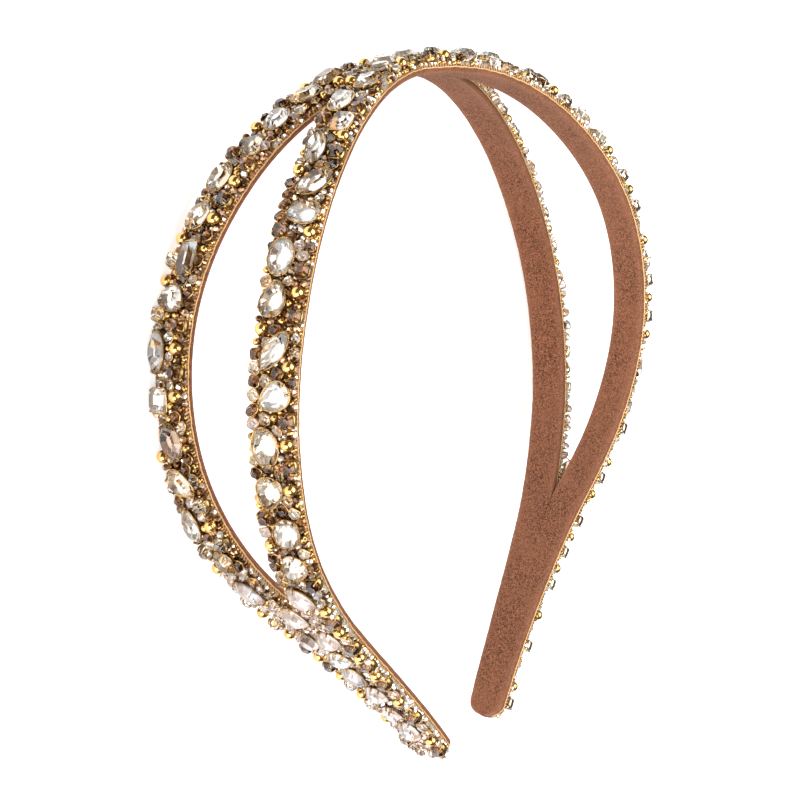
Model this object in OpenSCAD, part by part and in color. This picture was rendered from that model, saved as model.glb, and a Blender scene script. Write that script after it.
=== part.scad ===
// Double-strand embroidered headband, lying on its side.
// Two jewelled strands cross at the crown, bow apart over each side and join again in the tails.
// The hoop lies flat, its crown towards +Y and its tips towards -Y; the front strand is the upper one.

/* [Strands] */
// Width of one strand, edge to edge
strand_w = 7.8; // [7.6:0.1:8.4]
// Thickness of the cloth-covered core that carries the stones
ground_t = 1; // [1:0.1:1.4]
// Thickness of the suede lining
lining_t = 1; // [1:0.1:1.2]
// Gap between core and lining, and along the seam where the strands meet
seam = 0.2; // [0.1:0.05:0.25]
// Angle that a strand's outer edge turns in towards the head where the strands are widest apart
turn_in = 10; // [0:1:12]
// Tilt of the hoop where it rests on the back strand
lean = 2.8; // [2.6:0.1:3]

/* [Stones] */
// Height of a large stone from its back to its table
stone_h = 2.5; // [2.2:0.1:2.6]
// Angle that a large stone is tipped off the strand's face at most
stone_tip = 4; // [0:1:6]
// Height of a small round stone
chaton_h = 2; // [1.8:0.1:2.2]
// Diameter of a small round stone
chaton_d = 3; // [2.8:0.1:3.1]
// Diameter of a gold bead
bead_d = 2.4; // [2.3:0.1:2.6]
// Room around a large stone for its metal cup
cup_wall = 0.35; // [0.3:0.05:0.4]
// Distance between neighbouring spots for small stones and beads
spot_pitch = 3.6; // [3.5:0.1:3.9]

/* [Hidden] */

// Shape of half a strand, from the crown to the tip:
// distance along it, degrees that it turns in 10 mm, distance of its middle line from the hoop's
SHAPE = [
    // arc, bend, spread
    [0, 6.7, 0],
    [25, 9.5, 5.4],
    [50, 7.8, 9.5],
    [75, 11, 11.8],
    [100, 12.4, 10.9],
    [125, 10.3, 7.4],
    [150, -0.8, 3],
    [175, -1.4, 0.9],
    [197, -4.9, 0],
];
half_len = SHAPE[len(SHAPE) - 1][0];
step = 5;
steps = ceil(half_len / step);

// Sizes of the cuts: length, width
CUTS = [["oval", 7, 5], ["pear", 6.4, 4.4], ["navette", 8, 3.8], ["baguette", 6.6, 4], ["cushion", 4.6, 4.2]];

// Large stones of one half: distance from the crown, place across the strand, cut, turn.
// Across and turn count upwards, and a turn of 0 points the stone's length along the hoop.
CROWN_STONES = [
    [0, 0, "oval", 20],
    [8.5, 0.6, "pear", 165],
];
FRONT_STONES = [
    [14.1, 1.2, "cushion", 30],
    [20.9, 1.4, "oval", 5],
    [28.5, -1.2, "oval", 15],
    [35, 1.6, "cushion", 0],
    [42, -1.4, "navette", 15],
    [50, 1.2, "oval", -35],
    [56.5, 0.8, "pear", -80],
    [65, -1.3, "oval", 5],
    [72.5, -1.3, "pear", 170],
    [81, 0.2, "navette", -35],
    [88.5, 0.8, "pear", -60],
    [97, -1.2, "oval", 8],
    [105, -1.2, "pear", -20],
    [113, 1, "oval", -30],
    [121, 0.6, "pear", -40],
    [129.5, -1, "oval", 10],
];
BACK_STONES = [
    [18, -1.2, "baguette", 0],
    [26, 1, "pear", 150],
    [34, 0.8, "oval", 15],
    [41.5, 1, "cushion", 10],
    [49, -1.4, "oval", 5],
    [57, -1, "pear", 160],
    [65.5, 1.2, "baguette", 0],
    [73, 0.6, "pear", 60],
    [82, -1.9, "navette", 0],
    [90.5, -1.2, "cushion", 0],
    [97.5, 0.6, "oval", 25],
    [105, 0.2, "pear", 60],
    [113.5, -1.8, "navette", 0],
    [121.5, 1.2, "cushion", 0],
    [129.5, 0.8, "oval", 20],
];
TAIL_STONES = [
    [137, 0, "oval", 0],
    [145.5, 2.5, "oval", -12],
    [146.5, -2.8, "navette", -5],
    [154, 0.2, "oval", -30],
    [162, -0.6, "pear", 20],
    [169.5, 0.4, "oval", -25],
    [177.5, -0.2, "pear", 160],
    [185.5, 0, "oval", -10],
];

// Heights above the middle of the core and lining together
stack_t = lining_t + seam + ground_t;
lining_low = -stack_t / 2;
lining_high = lining_low + lining_t;
ground_low = lining_high + seam;
ground_high = ground_low + ground_t;
stone_seat = ground_high + 0.5;
bead_seat = ground_high + 0.15;
girdle_low = 0.42;
girdle_high = 0.56;
table_scale = 0.58;
back_scale = 0.62;
oval_sides = 10;
round_sides = 8;

// Rows of the shape table, by linear steps for the bend and a smooth curve for the spread
BENDS = [for (r = SHAPE) [r[0], r[1]]];
SPREADS = [for (r = SHAPE) [r[0], r[2]]];
function slope(t, i) =
    let (a = max(i - 1, 0), b = min(i + 1, len(t) - 1))
    (t[b][1] - t[a][1]) / (t[b][0] - t[a][0]);
function row_before(t, x, i = 0) = i < len(t) - 2 && x >= t[i + 1][0] ? row_before(t, x, i + 1) : i;
function smooth(t, x) =
    let (i = row_before(t, x), w = t[i + 1][0] - t[i][0], f = (x - t[i][0]) / w)
    (2 * f ^ 3 - 3 * f ^ 2 + 1) * t[i][1] + (f ^ 3 - 2 * f ^ 2 + f) * w * slope(t, i)
    + (3 * f ^ 2 - 2 * f ^ 3) * t[i + 1][1] + (f ^ 3 - f ^ 2) * w * slope(t, i + 1);
function spread(s) = smooth(SPREADS, abs(s));

// The hoop's middle line: its heading at each step, then its points
HEADINGS = [for (i = 0, h = 0; i <= steps;
    h = h + (lookup(i * step, BENDS) + lookup((i + 1) * step, BENDS)) / 2 * step / 10, i = i + 1) [i * step, h]];
PATH = [for (i = 0, p = [0, 0]; i <= steps;
    p = p + step * heading_step((i + 0.5) * step), i = i + 1) [i * step, p]];
function heading_step(s) = let (h = lookup(s, HEADINGS)) [cos(h), -sin(h)];
PATH_X = [for (p = PATH) [p[0], p[1][0]]];
PATH_Y = [for (p = PATH) [p[0], p[1][1]]];
function heading(s) = sign(s) * lookup(abs(s), HEADINGS);
function hoop(s) = [sign(s) * lookup(abs(s), PATH_X), lookup(abs(s), PATH_Y)];
function outward(s) = let (h = heading(s)) [sin(h), cos(h)];
// A strand turns in about its middle line, more the further it is from the other strand.
// Side is 1 for the front strand, -1 for the back one and 0 for the middle between them.
half_w = strand_w / 2;
widest = max([for (r = SHAPE) r[2]]);
function middle(side, s) = side * spread(s);
function turned(side, s) = -side * turn_in * max(0, spread(s) - half_w) / (widest - half_w);
// A point at distance s along a strand, v across it from its middle line and h outward from it
function at(side, s, v, h) =
    let (a = turned(side, s), p = hoop(s) + (v * sin(a) + h * cos(a)) * outward(s))
    [p[0], p[1], middle(side, s) + v * cos(a) - h * sin(a)];

// The strip's outline near a tip is half an ellipse
tip_l = 3;
TIP_TURNS = [25, 50, 68, 82];
function tip_scale(s) = let (x = (abs(s) - half_len + tip_l) / tip_l) x <= 0 ? 1 : sqrt(1 - x * x);
HALF_STATIONS = concat([for (s = [step : step : half_len - tip_l]) s],
    [for (a = TIP_TURNS) half_len - tip_l + tip_l * sin(a)]);
STATIONS = concat([for (i = [len(HALF_STATIONS) - 1 : -1 : 0]) -HALF_STATIONS[i]], [0], HALF_STATIONS);

// One layer of a strand between two heights: the part of it on its own side of the seam
module strip(side, low, high) {
    corners = [for (s = STATIONS)
        let (a = side * max(seam / 2 - spread(s), -half_w), b = side * half_w * tip_scale(s))
        each [at(side, s, a, low), at(side, s, b, low), at(side, s, b, high), at(side, s, a, high)]];
    last = 4 * (len(STATIONS) - 1);
    sides = [for (i = [0 : len(STATIONS) - 2]) for (k = [0 : 3])
        let (m = (k + 1) % 4) each [[4 * i + k, 4 * i + m, 4 * i + 4 + m], [4 * i + k, 4 * i + 4 + m, 4 * i + 4 + k]]];
    faces = concat(sides, [[3, 2, 1, 0]], [[last, last + 1, last + 2, last + 3]]);
    polyhedron(corners, side > 0 ? [for (f = faces) [for (k = [len(f) - 1 : -1 : 0]) f[k]]] : faces);
}

// Outline of a cut, grown by a margin
function outline(cut, grow = 0) =
    let (size = [for (c = CUTS) if (c[0] == cut) c][0], l = size[1] / 2 + grow, w = size[2] / 2 + grow)
    cut == "baguette" || cut == "cushion" ? box_outline(l, w, cut == "cushion" ? 0.3 * l : 0.16 * l) :
    [for (i = [0 : oval_sides - 1]) let (a = 360 * i / oval_sides)
        cut == "pear" ? [l * cos(a), w * sin(a) * (1.08 - 0.3 * cos(a))] :
        cut == "navette" ? [l * cos(a), w * sin(a) * abs(sin(a)) ^ 0.3] : [l * cos(a), w * sin(a)]];
function box_outline(l, w, c) = [[l, c - w], [l, w - c], [l - c, w], [c - l, w], [-l, w - c], [-l, c - w], [c - l, -w], [l - c, -w]];
function round_outline(d) = [for (i = [0 : round_sides - 1]) let (a = 360 * (i + 0.5) / round_sides) d / 2 * [cos(a), sin(a)]];

// A cut stone: a flat back, a pavilion, a girdle, a crown of facets and a table
module gem(points, height) {
    n = len(points);
    rings = [[0, back_scale], [girdle_low, 1], [girdle_high, 1], [1, table_scale]];
    corners = [for (r = rings) for (p = points) [p[0] * r[1], p[1] * r[1], height * r[0]]];
    sides = [for (j = [0 : 2]) for (i = [0 : n - 1]) let (k = (i + 1) % n, a = j * n, b = a + n)
        each [[a + i, b + k, a + k], [a + i, b + i, b + k]]];
    polyhedron(corners, concat([[for (i = [0 : n - 1]) i]], sides, [[for (i = [n - 1 : -1 : 0]) 3 * n + i]]));
}

// Stands its child on a strand at s along, v across and h outward, turned on the spot and tipped a little
module on_face(side, s, v, h, turn = 0, tip = [0, 0]) {
    translate(at(side, s, v, h)) rotate([90, 0, 180 - heading(s)]) rotate([turned(side, s), 0, 0])
        rotate([tip[0], tip[1], 0]) rotate(turn) children();
}

// Every large stone of both halves: place along, place across, cut, turn, strand
function both_halves(rows, side) = [for (r = rows) for (hand = [-1, 1]) if (hand < 0 || r[0] > 0)
    [hand * r[0], r[1], r[2], hand < 0 ? r[3] : 180 - r[3], side]];
FRONT_PLACES = concat(both_halves(CROWN_STONES, 0), both_halves(FRONT_STONES, 1), both_halves(TAIL_STONES, 0));
BACK_PLACES = both_halves(BACK_STONES, -1);
ALL_PLACES = concat(FRONT_PLACES, BACK_PLACES);

// Small stones and beads fill what room is left along both edges of each strand, one after another
spot_inset = 0.9;
spot_gap = 0.2;
spot_step = 0.5;
first_spot = 2;
last_spot = half_len - 3;
function cut_size(cut) = [for (c = CUTS) if (c[0] == cut) [c[1], c[2]]][0];
function clear_of(place, s, u, r) =
    let (size = cut_size(place[2]), margin = r + spot_gap + cup_wall,
        x = place[0] - s, y = u - middle(place[4], place[0]) - place[1],
        along = x * cos(place[3]) + y * sin(place[3]), across = y * cos(place[3]) - x * sin(place[3]))
    (along / (size[0] / 2 + margin)) ^ 2 + (across / (size[1] / 2 + margin)) ^ 2 > 1;
function room(places, s, u, r) = len([for (p = places) if (abs(p[0] - s) < 9 && !clear_of(p, s, u, r)) 1]) == 0;
function spot_r(kind) = (kind == 0 ? chaton_d : bead_d) / 2;
function spot_v(row) = row * (half_w - spot_inset);
function spot_row(places, side, hand, row) =
    [for (i = 0, s = first_spot, last = -spot_pitch, kind = row > 0 ? 0 : 1, ok = false; s < last_spot;
        kind = ok ? 1 - kind : kind, last = ok ? s : last, s = s + spot_step,
        ok = s - last >= spot_pitch && spread(s) + spot_v(row) > spot_r(kind) + spot_gap
            && room(places, hand * s, side * (spread(s) + spot_v(row)), spot_r(kind)))
    if (ok) [hand * s, side * spot_v(row), kind, side]];
FRONT_SPOTS = [for (hand = [-1, 1]) for (row = [1, -1]) each spot_row(ALL_PLACES, 1, hand, row)];
BACK_SPOTS = [for (hand = [-1, 1]) for (row = [1, -1]) each spot_row(ALL_PLACES, -1, hand, row)];

module crystals(places) {
    for (p = places)
        on_face(p[4], p[0], p[1], stone_seat, p[3], stone_tip * [sin(97 * p[0]), cos(61 * p[0])])
            gem(outline(p[2]), stone_h);
}

module chatons(spots) {
    for (p = spots) if (p[2] == 0) on_face(p[3], p[0], p[1], stone_seat) gem(round_outline(chaton_d), chaton_h);
}

module beads(spots) {
    for (p = spots) if (p[2] == 1)
        translate(at(p[3], p[0], p[1], bead_seat + bead_d / 2)) sphere(d = bead_d, $fn = 16);
}

// The hoop leans until it rests level on the small stones of the back strand's two sides
mid_y = 67.382;
rest_z = 18.402;
module lie() {
    translate([0, mid_y, rest_z]) rotate([lean, 0, 0]) children();
}

module front_ground() color("#7a5a2c") lie() strip(1, ground_low, ground_high);
module back_ground() color("#7a5a2c") lie() strip(-1, ground_low, ground_high);
module front_lining() color("#a0694c") lie() strip(1, lining_low, lining_high);
module back_lining() color("#a0694c") lie() strip(-1, lining_low, lining_high);
module front_crystals() color("#e9d3b0") lie() crystals(FRONT_PLACES);
module back_crystals() color("#e9d3b0") lie() crystals(BACK_PLACES);
module front_chatons() color("#6b4a30") lie() chatons(FRONT_SPOTS);
module back_chatons() color("#6b4a30") lie() chatons(BACK_SPOTS);
module front_beads() color("#c9a14a") lie() beads(FRONT_SPOTS);
module back_beads() color("#c9a14a") lie() beads(BACK_SPOTS);

front_ground();
back_ground();
front_lining();
back_lining();
front_crystals();
back_crystals();
front_chatons();
back_chatons();
front_beads();
back_beads();
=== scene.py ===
"""Double-strand embroidered headband: its finish, its fine parts and the table that it lies on."""

import math

import bmesh
import bpy
import numpy as np
from bpy.props import FloatProperty, FloatVectorProperty, IntProperty, PointerProperty
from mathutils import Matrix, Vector


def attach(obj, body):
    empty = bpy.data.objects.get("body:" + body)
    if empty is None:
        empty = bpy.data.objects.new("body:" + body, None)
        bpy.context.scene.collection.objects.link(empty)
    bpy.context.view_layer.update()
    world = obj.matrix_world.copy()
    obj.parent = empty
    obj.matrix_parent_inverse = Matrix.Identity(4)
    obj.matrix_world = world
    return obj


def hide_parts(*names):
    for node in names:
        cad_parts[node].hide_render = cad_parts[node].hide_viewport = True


bl_info = {
    "name": "Embroidered headband",
    "version": (1, 0, 0),
    "blender": (4, 5, 0),
    "location": "View3D > Sidebar > Headband",
    "description": "Builds the stones, metalwork, cords and suede of a double-strand headband",
    "category": "Object",
}

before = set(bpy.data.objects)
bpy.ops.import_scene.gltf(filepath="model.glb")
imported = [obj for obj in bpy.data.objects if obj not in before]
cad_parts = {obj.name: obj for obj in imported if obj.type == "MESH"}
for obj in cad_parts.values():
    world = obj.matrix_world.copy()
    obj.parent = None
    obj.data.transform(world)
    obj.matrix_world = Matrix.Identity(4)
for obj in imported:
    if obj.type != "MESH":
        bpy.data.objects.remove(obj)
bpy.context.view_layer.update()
MM = 0.001

# Shape of half a strand: distance from the crown, degrees that it turns in 10 mm, spread of its middle line
SHAPE = (
    (0, 6.7, 0),
    (25, 9.5, 5.4),
    (50, 7.8, 9.5),
    (75, 11, 11.8),
    (100, 12.4, 10.9),
    (125, 10.3, 7.4),
    (150, -0.8, 3),
    (175, -1.4, 0.9),
    (197, -4.9, 0),
)
STRANDS = (("front", 1), ("back", -1))

# Distance between the points along the middle line and the trim, in millimetres
STEP = 0.25
# Places where the finish changes, in millimetres to the right of the crown: pale metal starts, and
# the outer edge, which is seen from inside there, carries fewer beads
PALE_METAL, SEEN_FROM_INSIDE = 4, 26
# Distance of the tails from the crown, where the pale stones start
TAILS = 124
# How high a stone's girdle starts and how thick it is, as shares of the stone's height
GIRDLE, BAND = 0.46, 0.08


def length(name, text, default, low=0.0):
    """A size in millimetres."""
    return FloatProperty(name=name, description=text + " in millimetres", default=default, min=low)


def angle(name, text, degrees):
    """An angle, given in degrees."""
    return FloatProperty(name=name, description=text, subtype="ANGLE", default=math.radians(degrees))


def strength(name, text, default):
    """A light's strength."""
    return FloatProperty(name=name, description=text, default=default, min=0.0)


def colour(name, text, default):
    """A linear colour."""
    return FloatVectorProperty(
        name=name, description=text, subtype="COLOR", size=3, default=default, min=0.0, max=1.0)


class StrandSizes(bpy.types.PropertyGroup):
    """Sizes of the two strands and how they lie"""

    width: length("Width", "Width of a strand", 7.8, 6.0)
    ground: length("Ground", "Thickness of the stone-bearing cloth core", 1.0, 0.8)
    lining: length("Lining", "Thickness of the suede", 1.0, 0.5)
    seam: length("Seam", "Gap between core and suede", 0.2, 0.05)
    tip: length("Tip", "Length of the rounding at a tip", 3.0, 1.0)
    turn_in: angle("Turn in", "Turn of a strand towards the head at its widest place", 10)
    lean: angle("Lean", "Tilt of the lying hoop", 2.8)
    mid: length("Middle", "Distance of the crown from the middle of the part", 67.382)
    rest: length("Rest", "Height of the crown's middle over the floor", 18.402)
    cord: length("Cord", "Thickness of an edge cord", 0.26, 0.1)
    piping: length("Piping", "Thickness of the fold along the suede's side", 0.3, 0.1)
    round_edge: length("Round edge", "Rounding of the suede's edges", 0.4, 0.1)


class StoneSizes(bpy.types.PropertyGroup):
    """Sizes of the stones' metalwork and of the beads between them"""

    wire: length("Wire", "Thickness of the wire around a stone", 0.32, 0.1)
    claw: length("Claw", "Width of a claw", 0.42, 0.2)
    hole: length("Hole", "Width of a bead's thread hole", 0.7, 0.2)
    seed: IntProperty(
        name="Seed", description="Seed of the sewn beads' places and of the facets' shades", default=7, min=0)


class Finishes(bpy.types.PropertyGroup):
    """Colours of the headband"""

    suede: colour("Suede", "Colour of the lining", (0.255, 0.101, 0.053))
    gold: colour("Gold", "Colour of the gold beads", (0.80, 0.505, 0.185))
    bronze: colour("Bronze", "Colour of the dark beads", (0.22, 0.105, 0.04))
    thread: colour("Thread", "Colour of the gold cords", (1.0, 0.57, 0.24))
    # Made darker than the cloth itself, as painted shade in the gaps between the stones
    cloth: colour("Cloth", "Colour of the cloth core", (0.205, 0.112, 0.047))
    glass: colour("Glass", "Colour of the clear glass", (1.0, 0.975, 0.945))
    smoke: colour("Smoke", "Colour of the brown glass", (0.50, 0.28, 0.13))
    floor: colour("Floor", "Colour of the floor", (0.86, 0.88, 0.90))


class Studio(bpy.types.PropertyGroup):
    """Camera and lights"""

    lens: length("Lens", "Focal length of the camera", 90.822, 20.0)
    eye: FloatVectorProperty(
        name="Eye", description="Place of the camera in millimetres", size=3,
        default=(-330.627, 80.511, 244.157))
    turn: FloatVectorProperty(
        name="Turn", description="Turn of the camera", subtype="EULER", size=3,
        default=(-0.011308, -0.961568, -0.2223))
    top: strength("Top light", "Power of the soft light overhead in watts", 12.5)
    side: strength("Side light", "Power of the soft light beside the camera in watts", 7.2)
    glow: strength("Glow", "Light that the floor paper lets through from below", 0.6)
    room: strength("Room", "Light of the dark room around", 0.16)


# Hoop


class Hoop:
    """The middle line of the hoop and the places around it, in millimetres.

    A place on a strand is s along from the crown, w from its middle line towards its outer edge
    and h outward.
    """

    def __init__(self, sizes):
        self.r, self.tip_l, self.turn_in = sizes.width / 2, sizes.tip, sizes.turn_in
        self.arcs, bend, self.spreads = (np.array(c, float) for c in zip(*SHAPE))
        self.half = self.arcs[-1]
        self.s = np.arange(0, self.half + STEP / 2, STEP)
        turn = np.interp(self.s, self.arcs, bend) / 10
        self.head = np.concatenate(([0], np.cumsum((turn[1:] + turn[:-1]) / 2 * STEP)))
        mid = np.radians((self.head[1:] + self.head[:-1]) / 2)
        self.x = np.concatenate(([0], np.cumsum(np.cos(mid) * STEP)))
        self.y = -np.concatenate(([0], np.cumsum(np.sin(mid) * STEP)))
        c, s = math.cos(sizes.lean), math.sin(sizes.lean)
        self.lean = np.array(((1, 0, 0), (0, c, s), (0, -s, c)))
        self.shift = np.array((0, sizes.mid, sizes.rest))
        self.lining_low = -(sizes.lining + sizes.seam + sizes.ground) / 2
        self.lining_high = self.lining_low + sizes.lining
        self.ground_low = self.lining_high + sizes.seam
        self.ground_high = self.ground_low + sizes.ground
        rows = np.arange(len(self.arcs))
        after, before = np.minimum(rows + 1, rows[-1]), np.maximum(rows - 1, 0)
        self.slopes = (self.spreads[after] - self.spreads[before]) / (self.arcs[after] - self.arcs[before])

    def spread(self, s):
        """Distance of a strand's middle line from the hoop's."""
        s = np.minimum(np.abs(s), self.half)
        i = np.clip(np.searchsorted(self.arcs, s, "right") - 1, 0, len(self.arcs) - 2)
        w = self.arcs[i + 1] - self.arcs[i]
        f = (s - self.arcs[i]) / w
        return (
            (2 * f**3 - 3 * f**2 + 1) * self.spreads[i]
            + (f**3 - 2 * f**2 + f) * w * self.slopes[i]
            + (3 * f**2 - 2 * f**3) * self.spreads[i + 1]
            + (f**3 - f**2) * w * self.slopes[i + 1]
        )

    def outer(self, s):
        """Place of a strand's outer edge."""
        x = np.clip((np.abs(s) - self.half + self.tip_l) / self.tip_l, 0, 1)
        return self.r * np.sqrt(1 - x * x)

    def inner(self, s):
        """Place of a strand's inner edge, which is the seam where the strands meet."""
        return np.maximum(-self.spread(s), -self.r)

    def parted(self, s):
        """How far the strands' inner edges are from the seam."""
        return np.maximum(0, self.spread(s) - self.r)

    def turned(self, side, s):
        """How far a strand is turned about its middle line."""
        return -side * self.turn_in * self.parted(s) / (self.spreads.max() - self.r)

    def heading(self, s):
        """How far the hoop has turned since the crown."""
        return np.radians(np.sign(s) * np.interp(np.abs(s), self.s, self.head))

    def at(self, side, s, w, h):
        """Points of a strand, where it lies, in metres."""
        a, t = self.heading(s), self.turned(side, s)
        u = side * self.spread(s) + side * w * np.cos(t) - h * np.sin(t)
        out = side * w * np.sin(t) + h * np.cos(t)
        x = np.sign(s) * np.interp(np.abs(s), self.s, self.x) + out * np.sin(a)
        y = np.interp(np.abs(s), self.s, self.y) + out * np.cos(a)
        return (np.stack(np.broadcast_arrays(x, y, u), -1) @ self.lean + self.shift) * MM

    def axes(self, side, s):
        """Unit vectors backward along the hoop, across the strand and outward, as rows."""
        a, t = float(self.heading(s)), float(self.turned(side, s))
        back, out = np.array((-math.cos(a), math.sin(a), 0)), np.array((math.sin(a), math.cos(a), 0))
        up = np.array((0, 0, 1))
        cos, sin = math.cos(t), math.sin(t)
        return np.array((back, up * cos + out * sin, out * cos - up * sin)) @ self.lean

    def find(self, side, point):
        """How far along and how far out from a strand's middle line a point in metres is."""
        x, y, u = (point / MM - self.shift) @ self.lean.T
        i = np.argmin((self.x - abs(x)) ** 2 + (self.y - y) ** 2)
        s = math.copysign(self.s[i], x)
        a = float(self.heading(s))
        dx, dy = x - math.copysign(self.x[i], x), y - self.y[i]
        s += dx * math.cos(a) - dy * math.sin(a)
        out, t = dx * math.sin(a) + dy * math.cos(a), float(self.turned(side, s))
        return s, side * ((u - side * float(self.spread(s))) * math.cos(t) + out * math.sin(t))


# Meshes


def build(name, verts, faces, mats, slot, smooth=True, index=None, attrs=None):
    """A mesh piece from points in metres and faces, riding on the part."""
    mesh = bpy.data.meshes.new(name)
    sizes = np.array([len(face) for face in faces])
    loops = np.concatenate(faces)
    mesh.vertices.add(len(verts))
    mesh.vertices.foreach_set("co", np.asarray(verts, np.float32).ravel())
    mesh.loops.add(len(loops))
    mesh.loops.foreach_set("vertex_index", loops.astype(np.int32))
    mesh.polygons.add(len(sizes))
    mesh.polygons.foreach_set("loop_start", np.concatenate(([0], np.cumsum(sizes)[:-1])).astype(np.int32))
    mesh.polygons.foreach_set("loop_total", sizes.astype(np.int32))
    for m in mats:
        mesh.materials.append(m)
    if index is not None:
        mesh.polygons.foreach_set("material_index", np.asarray(index, np.int32))
    mesh.polygons.foreach_set("use_smooth", np.full(len(sizes), smooth))
    for key, values in (attrs or {}).items():
        mesh.attributes.new(key, "FLOAT", "POINT").data.foreach_set("value", np.asarray(values, np.float32))
    mesh.update(calc_edges=True)
    mesh.validate()
    piece = bpy.data.objects.new(name, mesh)
    bpy.context.scene.collection.objects.link(piece)
    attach(piece, "root")
    return piece


def weld(piece, distance=1e-7):
    """Join a piece's points that coincide and turn its faces outward."""
    bm = bmesh.new()
    bm.from_mesh(piece.data)
    bmesh.ops.remove_doubles(bm, verts=bm.verts, dist=distance)
    bmesh.ops.recalc_face_normals(bm, faces=bm.faces)
    bm.to_mesh(piece.data)
    bm.free()


class Pile:
    """Collects many small shapes into one mesh."""

    def __init__(self):
        self.verts, self.faces, self.index, self.tone, self.count = [], [], [], [], 0

    def add(self, verts, faces, kind, tone):
        """A shape of one kind of material and of one shade, or of one for each point."""
        self.verts.append(np.asarray(verts, float))
        self.faces += [np.asarray(face) + self.count for face in faces]
        self.index += [kind] * len(faces)
        self.tone.append(np.full(len(verts), tone))
        self.count += len(verts)

    def add_facets(self, verts, faces, kinds, facet_tones_and_light):
        """A cut stone whose every facet has its own points, and so its own shade: its tone and its painted
        light.
        """
        loose = np.concatenate([verts[face] for face in faces])
        ends = np.cumsum([len(face) for face in faces])
        self.verts.append(loose)
        self.faces += [np.arange(end - len(face), end) + self.count for face, end in zip(faces, ends)]
        self.index += list(kinds)
        self.tone.append(np.repeat(facet_tones_and_light, [len(face) for face in faces]))
        self.count += len(loose)

    def done(self, name, mats, slot, smooth=True):
        """The piece that all the shapes make."""
        # Each point's value: the random tone of a shape, and on cut stones and cut beads the painted shade of
        # a facet
        attrs = {"tone": np.concatenate(self.tone)}
        return build(name, np.concatenate(self.verts), self.faces, mats, slot, smooth, self.index, attrs)


def sheet_faces(rows, columns, closed=False):
    """Quads of a grid of points, row after row; a closed one joins its last column to its first."""
    i, j = np.meshgrid(np.arange(rows - 1), np.arange(columns if closed else columns - 1), indexing="ij")
    a, b = (i * columns + j).ravel(), (i * columns + (j + 1) % columns).ravel()
    return np.stack((a, b, b + columns, a + columns), 1)


def islands(node):
    """The loose solids of a CAD node, each as its points and the points of its triangles."""
    mesh = node.data
    mesh.calc_loop_triangles()
    co = np.empty(len(mesh.vertices) * 3, np.float32)
    mesh.vertices.foreach_get("co", co)
    co = co.reshape(-1, 3).astype(float)
    tris = np.empty(len(mesh.loop_triangles) * 3, np.int32)
    mesh.loop_triangles.foreach_get("vertices", tris)
    tris = tris.reshape(-1, 3)
    _, same = np.unique(np.round(co * 1e6).astype(np.int64), axis=0, return_inverse=True)
    same = same.ravel()
    group = np.arange(same.max() + 1)

    def root(i):
        while group[i] != i:
            group[i] = group[group[i]]
            i = group[i]
        return i

    for a, b, c in same[tris]:
        ra = root(a)
        group[root(b)] = ra
        group[root(c)] = ra
    roots = np.array([root(i) for i in same])
    of_tri = roots[tris[:, 0]]
    return [(co[roots == k], co[tris[of_tri == k]]) for k in np.unique(roots)]


def facing(triangles):
    """The direction in which the largest flat faces of a solid look, either way."""
    normal = np.cross(triangles[:, 1] - triangles[:, 0], triangles[:, 2] - triangles[:, 0])
    area = np.linalg.norm(normal, axis=1)
    unit = normal / np.maximum(area, 1e-12)[:, None]
    alike = np.abs(unit @ unit.T) > 0.999
    return unit[np.argmax(alike @ area)]


class Seat:
    """A place on a strand: local millimetres, backward, across and outward, to metres in the frame."""

    def __init__(self, hoop, side, s, w, out=None):
        self.s, self.w = s, w
        self.axes = hoop.axes(side, s)
        self.origin = hoop.at(side, np.array(s), w, 0.0)
        if out is not None:
            out = out * np.sign(out @ self.axes[2])
            back = self.axes[0] - out * (self.axes[0] @ out)
            back /= np.linalg.norm(back)
            self.axes = np.array((back, np.cross(out, back), out))

    def out(self, local):
        """Points in metres from local ones."""
        return self.origin + np.asarray(local) @ self.axes * MM

    def local(self, points):
        """Local points from ones in metres."""
        return (points - self.origin) @ self.axes.T / MM


def seats(hoop, name, side, flat=True):
    """Each stone or bead of a CAD node: its seat, on its flat face, its flat points, its base and its top."""
    for points, triangles in islands(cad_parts[name]):
        s, w = hoop.find(side, (points.min(0) + points.max(0)) / 2)
        seat = Seat(hoop, side, s, w, facing(triangles) if flat else None)
        local = seat.local(points)
        yield seat, local[:, :2], local[:, 2].min(), local[:, 2].max()


def hull(points):
    """Corners of the flat convex outline around points, counter-clockwise."""
    pts = sorted({(round(float(x), 2), round(float(y), 2)) for x, y in points})

    def straight(a, b, c):
        """Whether b isn't a corner on the way from a to c."""
        return (b[0] - a[0]) * (c[1] - a[1]) <= (b[1] - a[1]) * (c[0] - a[0]) + 1e-6

    def chain(row):
        out = []
        for p in row:
            while len(out) > 1 and straight(out[-2], out[-1], p):
                out.pop()
            out.append(p)
        return out

    return np.array(chain(pts)[:-1] + chain(pts[::-1])[:-1])


def from_long_end(outline):
    """The same outline, started at the end of its long axis."""
    c = outline - outline.mean(0)
    _, v = np.linalg.eigh(c.T @ c)
    return np.roll(outline, -int(np.argmax(np.abs(c @ v[:, 1]))), axis=0)


def rounded(outline, count):
    """A closed smooth line of count points through an outline's corners."""
    per = count // len(outline)
    p0, p1, p2, p3 = (np.roll(outline, -j, axis=0)[:, None] for j in (-1, 0, 1, 2))
    t = (np.arange(per) / per)[None, :, None]
    squared, cubed = 2 * p0 - 5 * p1 + 4 * p2 - p3, 3 * p1 - p0 - 3 * p2 + p3
    return (0.5 * (2 * p1 + (p2 - p0) * t + squared * t * t + cubed * t**3)).reshape(-1, 2)


def grown(outline, by):
    """An outline moved outward."""
    c = outline - outline.mean(0)
    return outline + c / np.linalg.norm(c, axis=1)[:, None] * by


def band_faces(a, b, n):
    """Quads between two rings of n points."""
    return [[a + i, a + (i + 1) % n, b + (i + 1) % n, b + i] for i in range(n)]


def tube_faces(rings, n):
    """Quads between rings of n points, each ring joined to the next."""
    return [face for i in range(rings - 1) for face in band_faces(i * n, (i + 1) * n, n)]


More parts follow.
